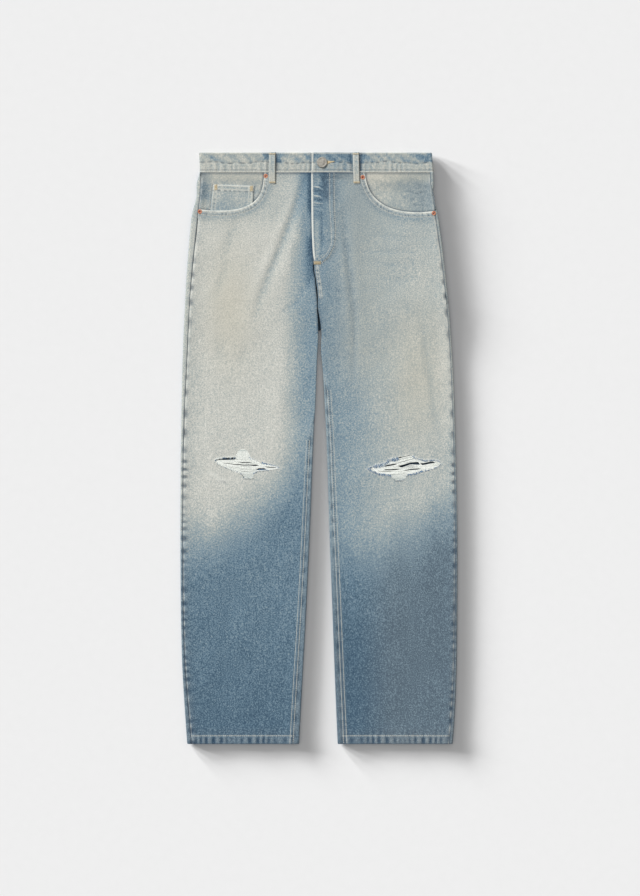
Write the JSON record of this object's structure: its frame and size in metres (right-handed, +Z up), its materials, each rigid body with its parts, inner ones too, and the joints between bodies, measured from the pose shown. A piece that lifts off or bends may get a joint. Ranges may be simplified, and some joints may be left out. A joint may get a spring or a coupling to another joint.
{
  "type": "ripped jeans",
  "caption": "Loose straight-leg jeans in bleached denim with torn knees, fastened and laid flat with the front up, to lie on a floor, bed or table.",
  "frame": {"origin": "centre of the whole outline, on the surface that the jeans lie on", "axes": "+X to the wearer's left, +Y from the hems to the waist, +Z up from the surface through the back to the front"},
  "size_m": [0.4984, 1.0621, 0.0139],
  "materials": {
    "washed_denim": "bleached and sanded indigo twill, sandy on the thighs and bluer at the edges and below the knees",
    "weft_cotton": "undyed weft yarns left across the rips",
    "seam_thread": "pale spun topstitching, gold at the bartacks",
    "button_metal": "dull aged grey-beige metal",
    "copper": "dull copper red"
  },
  "bodies": {
    "root": {"front_right": "washed_denim", "front_left": "washed_denim", "back_right": "washed_denim", "back_left": "washed_denim", "yoke_right": "washed_denim", "yoke_left": "washed_denim", "back_pocket_right": "washed_denim", "back_pocket_left": "washed_denim", "pocket_facing_right": "washed_denim", "pocket_facing_left": "washed_denim", "coin_pocket": "washed_denim", "waistband": "washed_denim", "belt_loop_front_right": "washed_denim", "belt_loop_front_left": "washed_denim", "belt_loop_back_right": "washed_denim", "belt_loop_back_centre": "washed_denim", "belt_loop_back_left": "washed_denim", "rip_threads_right": "weft_cotton", "rip_threads_left": "weft_cotton", "button": "button_metal", "rivet_right_waist": "copper", "rivet_right_side": "copper", "rivet_left_waist": "copper", "rivet_left_side": "copper"}
  },
  "joints": []
}
